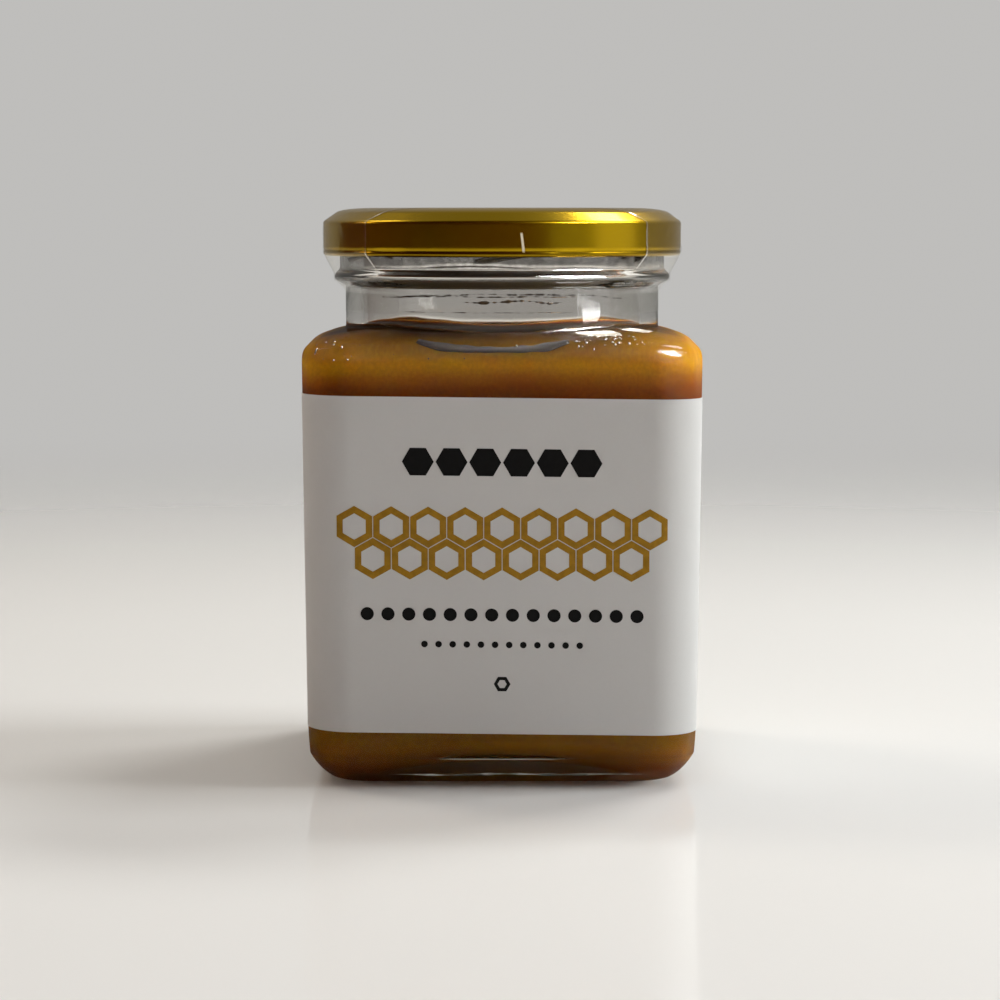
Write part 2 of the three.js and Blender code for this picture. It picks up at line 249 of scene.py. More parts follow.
def shoulder_loft(foot, rise, last_turn, half, radius, neck_z, steps):
    """Rings of a shoulder and of the hollow in which it meets the neck."""
    turn = last_turn * np.linspace(0.0, 1.0, steps) ** 2
    lift, square = shoulder_share(turn)
    z = foot + rise * lift
    slope = (z[-1] - z[-2]) / (square[-2] - square[-1])
    hollow = bezier([(square[-1], z[-1]), (0.0, z[-1] + slope * square[-1]), (0.0, neck_z)], 12)[1:]
    join = rings(hollow[:, 1], half, radius, hollow[:, 0])
    return np.concatenate([rings(z, half, radius, square), join])


def rings(z, half, radius, square):
    """Rows of height, half width, radius and share of squareness, for a loft."""
    return np.stack(np.broadcast_arrays(z, half, radius, square), axis=-1).astype(float)


def square_rings(z, half):
    return rings(z, half, 0.0, 1.0)


def round_rings(z, radius):
    return rings(z, 1.0, radius, 0.0)


def loft_points(rows, further_out=0.0):
    """Grid of points, a row for each ring and a column for each direction."""
    z, half, radius, square = (rows[:, i : i + 1] for i in range(4))
    reach = mix(radius, rounded_square(half, AROUND), square)
    return around_axis(reach + further_out, AROUND, z)


# Meshes

def linked_object(name, data):
    """A new object in the scene, made of a mesh, lamp or camera."""
    thing = bpy.data.objects.new(name, data)
    bpy.context.scene.collection.objects.link(thing)
    return thing


def new_mesh(name, points, faces):
    """Mesh data from points in millimetres."""
    mesh = bpy.data.meshes.new(name)
    mesh.from_pydata((np.asarray(points) * MM).tolist(), [], faces)
    return mesh


def mesh_object(name, points, faces, sharp=None):
    """A smooth mesh object; sharp is the angle in degrees where its shading breaks."""
    mesh = new_mesh(name, points, faces)
    mesh.polygons.foreach_set("use_smooth", [True] * len(mesh.polygons))
    if sharp is not None:
        mesh.set_sharp_from_angle(angle=math.radians(sharp))
    mesh.update()
    return linked_object(name, mesh)


def grid_faces(rows, columns, close_rows, close_columns):
    """Quads of a grid of points that face the side where rows run up and columns to the right."""
    lower = np.arange(rows if close_rows else rows - 1)
    left = np.arange(columns if close_columns else columns - 1)
    upper = (lower + 1) % rows
    right = (left + 1) % columns
    corners = [
        lower[:, None] * columns + left,
        lower[:, None] * columns + right,
        upper[:, None] * columns + right,
        upper[:, None] * columns + left,
    ]
    return np.stack(corners, axis=-1).reshape(-1, 4).tolist()


def paint_points(piece, name, values):
    """Stores one number for each point, for a material to read."""
    layer = piece.data.attributes.new(name, "FLOAT", "POINT")
    layer.data.foreach_set("value", np.asarray(values, float))


def turned_object(name, points, sharp=None):
    """A closed body from a grid whose first and last rows are single points on the axis."""
    rows, columns = points.shape[:2]
    body = points[1:-1].reshape(-1, 3)
    faces = grid_faces(rows - 2, columns, False, True)
    first = len(body)
    top = (rows - 3) * columns
    for i in range(columns):
        after = (i + 1) % columns
        faces += [[first, after, i], [first + 1, top + i, top + after]]
    ends = np.stack([points[0, 0], points[-1, 0]])
    return mesh_object(name, np.concatenate([body, ends]), faces, sharp)


def band_object(name, points, sharp=None):
    """A closed strip: rows go around its section, columns along it, with both ends capped."""
    rows, columns = points.shape[:2]
    faces = grid_faces(rows, columns, True, False)
    faces.append([row * columns for row in range(rows)])
    faces.append([row * columns + columns - 1 for row in reversed(range(rows))])
    return mesh_object(name, points.reshape(-1, 3), faces, sharp)


def two_sided(name, outer, inner):
    """A closed strip between two grids of the same rows and columns."""
    return band_object(name, np.concatenate([outer, inner[::-1]]))


def ripple(angle, z, seed, waves=7):
    """A smooth uneven field over direction and height, between about -1 and 1."""
    dice = np.random.default_rng(seed)
    total = 0.0
    for _ in range(waves):
        turns = dice.integers(1, 9)
        lift = dice.uniform(-0.25, 0.25)
        total = total + np.sin(turns * angle + lift * z + dice.uniform(0.0, 6.28))
    return total / math.sqrt(waves * 2.0)


# Glass

def inside_rings(clearance):
    """The inner floor, heel, wall and shoulder, from the axis up to the bore."""
    heel_z = FLOOR_EDGE + INNER_HEEL
    edge = body_half(heel_z) - WALL - clearance - INNER_HEEL
    out = np.linspace(0.0, 1.0, 14)
    floor = rings(mix(FLOOR_MIDDLE, FLOOR_EDGE, out**2) + clearance, edge * out, edge * out, out**2)
    turn = np.linspace(0.0, math.pi / 2, 14)[1:]
    lift = FLOOR_EDGE + clearance + INNER_HEEL * (1.0 - np.cos(turn))
    heel = square_rings(lift, edge + INNER_HEEL * np.sin(turn))
    z = np.linspace(heel_z + clearance, INNER_SHOULDER_FOOT, 10)[1:-1]
    wall = square_rings(z, body_half(z) - WALL - clearance)
    half = body_half(INNER_SHOULDER_FOOT) - WALL - clearance
    shoulder = shoulder_loft(
        INNER_SHOULDER_FOOT, INNER_SHOULDER_RISE - clearance, INNER_SHOULDER_TURN, half,
        BORE_RADIUS - clearance, BORE_FOOT, 26,
    )
    return np.concatenate([floor, heel, wall, shoulder])


def nearness_to_side(points):
    """One at the middle of each side, running out to nothing towards the corners."""
    turned = turn_from_side(np.arctan2(points[..., 1], points[..., 0]))
    return np.maximum(1.0 - (np.tan(turned) / math.tan(SIDE_RISE_HALF)) ** 2, 0.0)


def raise_sides(points):
    """Raises the inner floor towards the middle of each side, where the base is thickest."""
    reach = np.hypot(points[..., 0], points[..., 1])
    share = smooth_step(SIDE_RISE_START, SIDE_RISE_END, reach)
    share = share * smooth_step(SIDE_RISE_TOP, FLOOR_EDGE, points[..., 2])
    points[..., 2] += SIDE_RISE * share * nearness_to_side(points)
    return points


def lower_sides(points):
    """Lowers the hollow under the neck towards the middle of each side, where the shoulder is short."""
    z = points[..., 2]
    share = smooth_step(SHOULDER_FOOT + 4.0, NECK_ROOT - 1.0, z)
    share = share * smooth_step(NECK_ROOT + 4.0, NECK_ROOT, z)
    points[..., 2] -= SIDE_DROP * share * nearness_to_side(points)
    return points


def underside_rings():
    out = np.sin(np.linspace(0.0, math.pi / 2, 18))
    dome = rings(PUSH_UP * (1.0 - out**2), REST_INNER * out, REST_INNER * out, out**2)
    middle = 0.5 * (REST_INNER + REST_OUTER)
    return np.concatenate([dome, square_rings(0.0, [middle])])


def heel_rings():
    """The slanted heel, which meets the wall in a soft crease."""
    crease = (float(body_half(FOOT_TOP)), FOOT_TOP)
    wall_foot = FOOT_TOP + CREASE_ROUND
    guide = [(REST_OUTER, 0.0), (REST_OUTER + 5.6, 0.75), (crease[0] - 0.12, crease[1] - 0.16)]
    line = bezier(guide, 20)
    bend = bezier([guide[-1], crease, (float(body_half(wall_foot)), wall_foot)], 5)
    line = chain([line, bend])
    return square_rings(line[:, 1], line[:, 0])


def bead_rings():
    """The round bead, with small hollows where it meets the neck and the mouth."""
    z = np.linspace(BEAD_LOW - BEAD_HOLLOW, BEAD_HIGH + 0.8, 40)
    share = (z - BEAD_LOW) / (BEAD_HIGH - BEAD_LOW) * 2.0 - 1.0
    root = np.where(share < 0.0, NECK_RADIUS, FINISH_RADIUS)
    radius = root + (BEAD_RADIUS - root) * np.clip(1.0 - np.abs(share) ** 2.2, 0.0, 1.0)
    softened = np.convolve(np.pad(radius, 3, mode="edge"), np.ones(7) / 7.0, mode="valid")
    return round_rings(z, softened)


def mouth_rings():
    z = np.linspace(BEAD_HIGH + 1.1, RIM_TOP - RIM_ROUND, 44)
    wall = round_rings(z, FINISH_RADIUS)
    turn = np.linspace(0.0, math.pi / 2, 9)
    lift = RIM_TOP - RIM_ROUND * (1.0 - np.sin(turn))
    outer = round_rings(lift, FINISH_RADIUS - RIM_ROUND * (1.0 - np.cos(turn)))[1:]
    inner = round_rings(lift, BORE_RADIUS + RIM_ROUND * (1.0 - np.cos(turn)))[::-1]
    return wall, np.concatenate([outer, inner])


def thread_height(z):
    """How far the thread ridges stand out of the mouth's wall."""
    run = (np.degrees(AROUND) - THREAD_START) % (360.0 / THREADS)
    ends = smooth_step(0.0, 2.5, run) * smooth_step(THREAD_SWEEP, THREAD_SWEEP - 9.0, run)
    middle = THREAD_LOW + THREAD_RISE * run / THREAD_SWEEP
    off = np.abs(z - middle) / (THREAD_HEIGHT / 2)
    return (THREAD_RADIUS - FINISH_RADIUS) * ends * smooth_step(1.0, 0.45, off)


def make_glass():
    low_z = np.linspace(FOOT_TOP + CREASE_ROUND, FOOT_CURVE, 6)[1:]
    wall_z = np.concatenate([low_z, np.linspace(FOOT_CURVE, SHOULDER_FOOT, 9)[1:-1]])
    wall = square_rings(wall_z, body_half(wall_z))
    neck = round_rings(np.linspace(NECK_ROOT, BEAD_LOW - BEAD_HOLLOW, 10)[1:-1], NECK_RADIUS)
    finish, rim = mouth_rings()
    bore = round_rings(np.linspace(RIM_TOP - RIM_ROUND, BORE_FOOT, 20)[1:-1], BORE_RADIUS)
    foot = np.concatenate([underside_rings(), heel_rings()])
    shoulder = shoulder_loft(
        SHOULDER_FOOT, SHOULDER_RISE, SHOULDER_TURN, BODY_HALF_TOP, NECK_RADIUS, NECK_ROOT, 34
    )
    below = np.concatenate([foot, wall, shoulder, neck, bead_rings()])
    bore_z = bore[:, :1]
    waves = BORE_WAVES * ripple(AROUND, bore_z, 4) * smooth_step(WAVES_START, WAVES_FULL, bore_z)
    grids = [
        lower_sides(loft_points(below)),
        loft_points(finish, thread_height(finish[:, :1])),
        loft_points(rim),
        loft_points(bore, waves),
        raise_sides(loft_points(inside_rings(0.0)[::-1])),
    ]
    return turned_object("jar_glass", np.concatenate(grids))


# Honey

def make_honey():
    """The filling, which reaches just into the glass and clings to the foot of the bore."""
    side = raise_sides(loft_points(inside_rings(-INTO_WALL)))
    reach = BORE_RADIUS + INTO_WALL
    dip = np.exp(-((np.cos(AROUND) / 0.42) ** 2))
    edge = HONEY_EDGE - HONEY_EDGE_DIP * dip + 0.12 * ripple(AROUND, 0.0, 17)
    share = np.linspace(0.0, 1.0, 7)[1:, None]
    rim = around_axis(reach, AROUND, mix(BORE_FOOT, edge, share))
    steps = [0.05, 0.15, 0.3, 0.5, 0.75, 1.0, 1.3, 1.7, 2.2, 2.8, 3.5, 4.5]
    inward = np.concatenate([steps, np.linspace(6.0, reach, 14)])[:, None]
    cling = (edge - HONEY_TOP) * np.exp(-inward / HONEY_EDGE_RUN)
    lift = ripple(AROUND, inward * 0.8, 11) * smooth_step(1.0, 8.0, inward) * (1.0 - inward / reach)
    top = around_axis(reach - inward, AROUND, HONEY_TOP + cling + 0.25 * lift)
    return turned_object("honey_fill", np.concatenate([side, rim, top]))


def honey_wall_point(angle, turn, out):
    """A point on the honey under the shoulder, moved outwards along the surface's normal."""

    def spot(direction, tilt):
        lift, square = shoulder_share(tilt)
        half = body_half(INNER_SHOULDER_FOOT) - WALL + INTO_WALL
        reach = mix(BORE_RADIUS + INTO_WALL, rounded_square(half, direction), square)
        z = INNER_SHOULDER_FOOT + (INNER_SHOULDER_RISE + INTO_WALL) * lift
        return around_axis(reach, direction, z)

    small = 1e-3
    around = spot(angle + small, turn) - spot(angle - small, turn)
    upward = spot(angle, turn + small) - spot(angle, turn - small)
    normal = np.cross(around, upward)
    normal /= np.linalg.norm(normal, axis=-1, keepdims=True)
    return spot(angle, turn) + normal * np.asarray(out)[..., None]


def make_air_pocket(name, middle, half_width, low_turn, rise_turn, half_turn, thick, blunt):
    """A flat pocket of air between honey and glass, curved up towards its two ends."""
    across = np.linspace(-1.0, 1.0, 61)[None, :]
    up = np.linspace(-1.0, 1.0, 13)[:, None]
    taper = np.maximum(1.0 - across**2, 0.0004) ** blunt
    ragged = 1.0 + 0.16 * ripple(across * 3.0, up, 31)
    fuller = 1.0 + 0.7 * across**2
    turn = np.radians(low_turn + rise_turn * across**4 + half_turn * taper * fuller * ragged * up)
    angle = np.broadcast_to(np.radians(middle + half_width * across), turn.shape)
    bulge = thick * taper * (1.0 - up**2)
    outer = honey_wall_point(angle, turn, POCKET_SKIN + bulge)
    inner = honey_wall_point(angle, turn, -POCKET_SKIN - 0.3 * bulge)
    pocket = two_sided(name, outer, inner)
    # Share of the way up each pocket, for its painted light and shade
    rise = np.broadcast_to(up, turn.shape)
    paint_points(pocket, "rise", np.concatenate([rise, rise[::-1]]).ravel() * 0.5 + 0.5)
    return pocket


def make_smear(name, start, end, z, half_height, seed):
    """A broken line of honey left on the inside of the neck."""
    degrees = np.linspace(start, end, 260)[None, :]
    angle = np.radians(degrees)
    up = np.linspace(-1.0, 1.0, 7)[:, None]
    coarse = ripple(angle * 6.0, 0.0, seed, 9)
    fine = ripple(angle * 17.0, 0.0, seed + 2, 9)
    height = np.clip(0.42 + 0.6 * coarse + 0.45 * fine, 0.05, 1.2)
    ends = smooth_step(start, start + 6.0, degrees) * smooth_step(end, end - 6.0, degrees)
    lift = z + half_height * (0.6 * ripple(angle * 3.0, 0.0, seed + 1) + height * ends * up)
    outer = around_axis(BORE_RADIUS + INTO_WALL + SMEAR_HALF, angle, lift)
    return two_sided(name, outer, around_axis(BORE_RADIUS - SMEAR_HALF, angle, lift))


def make_base_streak(name, quarter):
    """A pale uneven line just inside the slanted heel: a painted highlight where the thick base gathers
    light.
    """
    heel = heel_rings()
    x = np.linspace(STREAK_LEFT, STREAK_RIGHT, 160)[None, :]
    up = np.linspace(-1.0, 1.0, 5)[:, None]
    height = np.clip(0.6 + 0.5 * ripple(x * 0.12, 0.0, 61), 0.15, 1.2)
    height = height * smooth_step(STREAK_LEFT, STREAK_LEFT + 12.0, x)
    height = height * smooth_step(STREAK_RIGHT, STREAK_RIGHT - 8.0, x)
    z = STREAK_HEIGHT + 0.12 * ripple(x * 0.05, 0.0, 63) + STREAK_HALF * height * up
    layers = []
    for inward in (0.12, 0.3):
        out = np.interp(z, heel[:, 0], heel[:, 1]) - inward
        front = np.stack(np.broadcast_arrays(x, -out, z), axis=-1)
        layers.append(turn_about_axis(front, quarter * math.pi / 2))
    return two_sided(name, *layers)


def shoulder_patch(name, start, end, low_turn, high_turn):
    """Part of the honey's surface under the shoulder, as the ground for scattered bubbles."""
    degrees = np.meshgrid(np.linspace(start, end, 24), np.linspace(low_turn, high_turn, 10))
    angle, turn = np.radians(degrees)
    points = honey_wall_point(angle, turn, POCKET_SKIN)
    return new_mesh(name, points.reshape(-1, 3), grid_faces(*turn.shape, False, False))


# Lid

def rightward(line):
    """Unit vectors to the right of a line, one for each of its points."""
    along = np.gradient(line, axis=0)
    along /= np.linalg.norm(along, axis=1, keepdims=True)
    return np.stack([along[:, 1], -along[:, 0]], axis=1)


def lid_line():
    """Outer line of the lid's section, from the axis out over the crown and down to the curl."""
    panel = LID_CROWN - PANEL_DROP
    crown = (CROWN_RADIUS, LID_CROWN)
    bevel = np.array((BEVEL_TOP_RADIUS, LID_CROWN - BEVEL_TOP_DROP))
    crease = np.array((LID_RADIUS, SKIRT_TOP))
    near = mix(bevel, crease, 0.84)
    skirt = (LID_RADIUS, SKIRT_TOP - 0.5)
    skirt_end = (LID_RADIUS, GROOVE_TOP)
    groove = (LID_RADIUS - GROOVE, GROOVE_TOP - 0.9)
    return chain([
        bezier([(0.0, panel), (PANEL_RADIUS, panel)], 10),
        bezier([(PANEL_RADIUS, panel), (PANEL_BEND, panel), (PANEL_BEND, LID_CROWN), crown], 14),
        bezier([crown, (CROWN_GUIDE, LID_CROWN), bevel], 14),
        bezier([bevel, near], 8),
        bezier([near, crease, skirt], 9),
        bezier([skirt, skirt_end], 14),
        bezier([skirt_end, (LID_RADIUS, GROOVE_TOP - 0.5), groove], 6),
    ])


def make_lid():
    outside = lid_line()
    inside = outside + SHEET * rightward(outside)
    inside[0, 0] = 0.0
    turn = np.linspace(CURL_START, CURL_END, 24)
    middle = np.array((LID_RADIUS - CURL_RADIUS, LID_BOTTOM + CURL_RADIUS))
    curl = middle + CURL_RADIUS * np.stack([np.cos(turn), np.sin(turn)], axis=1)
    line = np.concatenate([inside, curl, outside[::-1]])
    angle = np.linspace(0.0, 2.0 * math.pi, LID_STEPS, endpoint=False)
    reach = np.repeat(line[:, :1], LID_STEPS, axis=1)
    z = np.repeat(line[:, 1:], LID_STEPS, axis=1)
    low = smooth_step(LUG_ROOT, LID_BOTTOM + CURL_RADIUS, z)
    spacing = 360.0 / LUGS
    off = np.abs((np.degrees(angle) - LUG_START + spacing / 2) % spacing - spacing / 2)
    reach = reach - LUG_DEPTH * low * smooth_step(LUG_HALF, LUG_HALF * 0.45, off)
    lid = turned_object("lid_gold", around_axis(reach, angle, z), sharp=60)
    hidden = np.zeros(reach.shape)
    hidden[: len(inside) + 6] = 1.0
    paint_points(lid, "inside", np.append(hidden[1:-1].ravel(), [1.0, 0.0]))
    return lid


# Label

def make_label():
    """The paper band, which starts and ends at the back, where its end lies over its start."""
    seam = math.pi / 2
    overlap = LABEL_OVERLAP / BODY_HALF_TOP
    lift = np.linspace(LABEL_LOW, LABEL_HIGH, 16)
    angle = np.linspace(seam - overlap, seam + 2 * math.pi, 720)
    under = smooth_step(seam + 2 * math.pi - 2 * overlap, seam + 2 * math.pi - overlap, angle)
    z = np.concatenate([lift, lift[::-1]])[:, None]
    face = np.repeat([1.0, 0.0], len(lift))[:, None]
    off = LABEL_GAP + LABEL_THICK * face + 1.2 * LABEL_THICK * under
    points = around_axis(rounded_square(body_half(z), angle) + off, angle, z)
    points[..., 2] -= math.tan(LABEL_SLANT) * points[..., 0]
    return band_object("label_paper", points, sharp=50)


# Tape

def tape_line():
    """Radius and height of the tape's underside, from its end on the neck to the middle of the lid."""
    neck = (NECK_RADIUS, BEAD_LOW - 1.8)
    bead_low = (BEAD_RADIUS, BEAD_LOW + 1.1)
    bead_high = (BEAD_RADIUS + 0.1, BEAD_HIGH - 1.0)
    skirt_low = (LID_RADIUS, LID_BOTTOM + 0.6)
    skirt_high = (LID_RADIUS + 0.06, LID_BOTTOM + 2.4)
    side = chain([
        bezier([(NECK_RADIUS, TAPE_END), neck], 12),
        bezier([neck, (NECK_RADIUS, BEAD_LOW - 0.6), bead_low], 10),
        bezier([bead_low, (BEAD_RADIUS + 0.2, BEAD_LOW + 1.9), bead_high], 8),
        bezier([bead_high, skirt_low], 12),
        bezier([skirt_low, (LID_RADIUS + 0.1, LID_BOTTOM + 1.2), skirt_high], 6),
    ])
    lid = lid_line()[::-1]
    lid = lid[(lid[:, 1] > LID_BOTTOM + 2.6) & (lid[:, 0] >= CROWN_RADIUS)]
    top = bezier([(CROWN_RADIUS, LID_CROWN), (0.0, LID_CROWN)], 16)
    return np.concatenate([side, lid, top[1:]])


def make_tape():
    """The film, stuck down along its line, with small folds where it goes over the lid's edge."""
    line = tape_line()
    out_of = rightward(line)
    share = np.concatenate([[-0.5, -0.496, -0.49], np.linspace(-0.475, 0.475, 70), [0.49, 0.496, 0.5]])
    across = share * TAPE_WIDTH + TAPE_MIDDLE
    radius, z = line[:, :1], line[:, 1:]
    edge_zone = np.exp(-(((radius - 40.6) / 2.6) ** 2)) * (z > SKIRT_TOP - 3.0)
    skirt_zone = 0.35 * (z > LID_BOTTOM + 1.0) * (z < SKIRT_TOP)
    folds = np.maximum(ripple(across[None, :] * 0.30, z * 5.0, 21, 10), 0.0) ** 1.5
    folds = FOLD_HEIGHT * folds * np.maximum(edge_zone, skirt_zone)
    layers = []
    for off in (TAPE_GAP, TAPE_GAP + TAPE_THICK):
        lifted_radius = radius + (off + folds) * out_of[:, :1]
        lifted_z = z + (off + folds) * out_of[:, 1:]
        out = np.sqrt(np.maximum(lifted_radius**2 - across[None, :] ** 2, 0.0))
        out[-1] = 0.0
        right = np.stack([out, np.broadcast_to(across, out.shape), lifted_z], axis=-1)
        left = right[::-1][1:] * np.array([-1.0, 1.0, 1.0])
        layers.append(np.concatenate([right, left]))
    under, over = layers
    section = np.concatenate([over, under[:, ::-1]], axis=1).transpose(1, 0, 2)
    tape = band_object("seal_tape_film", turn_about_axis(section, TAPE_TURN), sharp=50)
    border = np.zeros(section.shape[:2])
    last = len(across)
    border[[0, last - 1, last, 2 * last - 1]] = 1.0
    border[[1, last - 2, last + 1, 2 * last - 2]] = 0.8
    paint_points(tape, "border", border.ravel())
    return tape


# Nodes

def rgb(red, green, blue):
    return (red, green, blue, 1.0)


def arithmetic(operation, swapped=False):
    """An operator between a wire and another wire or a number."""

    def operator(self, other):
        return self.maths(operation, other, self) if swapped else self.maths(operation, self, other)

    return operator


class Wire:
    """One socket of a node tree. Arithmetic on wires adds Math nodes to the tree."""

    def __init__(self, tree, socket=None):
        self.tree = tree
        self.socket = socket

    def node(self, kind, inputs=None, output=0, **settings):
        """Another node: its type, its sockets' values or links, the output to use, its settings."""
        node = self.tree.nodes.new(kind)
        for key, value in settings.items():
            setattr(node, key, value)
        for key, value in (inputs or {}).items():
            if isinstance(value, Wire):
                value.to(node.inputs[key])
            else:
                node.inputs[key].default_value = value
        return Wire(self.tree, node.outputs[output])

    def to(self, socket):
        self.tree.links.new(self.socket, socket)

    def maths(self, operation, *values):
        return self.node("ShaderNodeMath", dict(enumerate(values)), operation=operation)

    __add__ = arithmetic("ADD")
    __radd__ = arithmetic("ADD", swapped=True)
    __sub__ = arithmetic("SUBTRACT")
    __rsub__ = arithmetic("SUBTRACT", swapped=True)
    __mul__ = arithmetic("MULTIPLY")
    __rmul__ = arithmetic("MULTIPLY", swapped=True)
    __pow__ = arithmetic("POWER")

    def __abs__(self):
        return self.maths("ABSOLUTE", self)

    def between(self, low, high):
        """0 below low, 1 above high, a smooth rise in between."""
        inputs = {"Value": self, "From Min": low, "From Max": high}
        return self.node("ShaderNodeMapRange", inputs, interpolation_type="SMOOTHSTEP")

    def blend(self, low, high):
        """The colour low where this is 0 and high where it is 1."""
        inputs = {"Factor": self, 6: low, 7: high}
        return self.node("ShaderNodeMix", inputs, 2, data_type="RGBA")


# Geometry Nodes

def geometry_tree(name, **inputs):
    """A tree with named inputs, given with the kind of each, and a wire from each."""
    tree = bpy.data.node_groups.new(name, "GeometryNodeTree")
    tree.interface.new_socket("Geometry", in_out="OUTPUT", socket_type="NodeSocketGeometry")
    inputs = {"Geometry": "Geometry", **inputs}
    for key, kind in inputs.items():
        tree.interface.new_socket(key, in_out="INPUT", socket_type="NodeSocket" + kind)
    sockets = tree.nodes.new("NodeGroupInput").outputs
    return tree, {key: Wire(tree, sockets[key]) for key in inputs}


def finish_tree(geometry, material):
    """Ends a tree in Realize Instances and Set Material."""
    real = geometry.node("GeometryNodeRealizeInstances", {"Geometry": geometry})
    painted = real.node("GeometryNodeSetMaterial", {"Geometry": real, "Material": material})
    painted.to(painted.tree.nodes.new("NodeGroupOutput").inputs["Geometry"])


def run_tree(name, tree, base=None, **values):
    """The tree's result as a plain mesh object."""
    start = linked_object(name + "_start", base or bpy.data.meshes.new(name + "_start"))
    modifier = start.modifiers.new("make", "NODES")
    modifier.node_group = tree
    for socket in tree.interface.items_tree:
        if socket.in_out == "INPUT" and socket.name in values:
            modifier[socket.identifier] = values[socket.name]
    shown = start.evaluated_get(bpy.context.evaluated_depsgraph_get())
    mesh = bpy.data.meshes.new_from_object(shown)
    mesh.name = name
    bpy.data.objects.remove(start)
    return linked_object(name, mesh)


def motif_row_tree():
    """A row of flat printed motifs: rings or full shapes with a number of corners."""
    tree, given = geometry_tree(
        "motif_row", Count="Int", Spacing="Float", Radius="Float", Hollow="Float", Corners="Int",
        Turn="Float", Material="Material",
    )
    count, spacing, radius = given["Count"], given["Spacing"], given["Radius"]
    outlines = []
    for size in (radius, radius * given["Hollow"]):
        inputs = {"Resolution": given["Corners"], "Radius": size}
        outlines.append(size.node("GeometryNodeCurvePrimitiveCircle", inputs, mode="RADIUS"))
    whole, inner = outlines
    lines = whole.node("GeometryNodeJoinGeometry", {0: whole})
    inner.to(lines.socket.node.inputs[0])
    shape = lines.node("GeometryNodeFillCurve", {"Curve": lines}, mode="TRIANGLES")
    shape = shape.node("GeometryNodeSubdivideMesh", {"Mesh": shape, "Level": 2})
    start = count.node("ShaderNodeCombineXYZ", {"X": (count - 1.0) * spacing * -0.5})
    step = count.node("ShaderNodeCombineXYZ", {"X": spacing})
    inputs = {"Count": count, "Start Location": start, "Offset": step}
    row = count.node("GeometryNodeMeshLine", inputs, mode="OFFSET")
    turned = row.node("ShaderNodeCombineXYZ", {"Z": given["Turn"]})
    inputs = {"Points": row, "Instance": shape, "Rotation": turned}
    finish_tree(row.node("GeometryNodeInstanceOnPoints", inputs), given["Material"])
    return tree


def bubble_tree():
    """Small air bubbles scattered over a patch of the honey's surface."""
    tree, given = geometry_tree(
        "bubbles", Density="Float", Smallest="Float", Largest="Float", Seed="Int", Material="Material"
    )
    ground, seed = given["Geometry"], given["Seed"]
    inputs = {"Mesh": ground, "Density": given["Density"], "Seed": seed}
    spots = ground.node("GeometryNodeDistributePointsOnFaces", inputs, distribute_method="RANDOM")
    ball = ground.node("GeometryNodeMeshIcoSphere", {"Radius": 1.0, "Subdivisions": 2})
    smooth = ball.node("GeometryNodeSetShadeSmooth", {"Geometry": ball})
    inputs = {2: given["Smallest"], 3: given["Largest"], "Seed": seed}
    size = ground.node("FunctionNodeRandomValue", inputs, 1, data_type="FLOAT")
    inputs = {"Points": spots, "Instance": smooth, "Scale": size}
    finish_tree(spots.node("GeometryNodeInstanceOnPoints", inputs), given["Material"])
    return tree


# Finishes

class Finish:
    """A new material with a Principled shader; constants go on the shader's own sockets."""

    def __init__(self, name, **constants):
        self.material = bpy.data.materials.new(name)
        self.material.use_nodes = True
        tree = self.material.node_tree
        self.shader = tree.nodes["Principled BSDF"]
        self.output = tree.nodes["Material Output"]
        self.node = Wire(tree).node
        self.solid = Wire(tree, self.shader.outputs[0])
        for key, value in constants.items():
            socket = key.replace("_", " ").title().replace("Ior", "IOR")
            self.shader.inputs[socket].default_value = value

    def feed(self, socket, wire):
        wire.to(self.shader.inputs[socket])

    def place(self):
        """Object coordinates, in metres."""
        return self.node("ShaderNodeTexCoord", output="Object")

    def axes(self):
        """X, Y and Z of the object coordinates, in metres."""
        split = self.node("ShaderNodeSeparateXYZ", {"Vector": self.place()})
        return [Wire(split.tree, split.socket.node.outputs[axis]) for axis in "XYZ"]

    def noise(self, scale, detail=2.0, roughness=0.5):
        inputs = {"Vector": self.place(), "Scale": scale, "Detail": detail, "Roughness": roughness}
        return self.node("ShaderNodeTexNoise", inputs)

    def painted(self, name):
        """A number stored on the mesh's points."""
        return self.node("ShaderNodeAttribute", output="Fac", attribute_name=name)

    def aside(self):
        """0 on faces seen straight on, rising to 1 on faces seen from the side."""
        return self.node("ShaderNodeLayerWeight", {"Blend": 0.5}, "Facing")

    def see_through(self, colour):
        return self.node("ShaderNodeBsdfTransparent", {"Color": colour})

    def dull(self, colour):
        return self.node("ShaderNodeBsdfDiffuse", {"Color": colour})

    def mixed(self, share, first, second):
        return self.node("ShaderNodeMixShader", {0: share, 1: first, 2: second})

    def bump(self, height, distance, strength):
        inputs = {"Height": height, "Distance": distance, "Strength": strength}
        self.feed("Normal", self.node("ShaderNodeBump", inputs, "Normal"))

    def surface(self, wire):
        wire.to(self.output.inputs["Surface"])


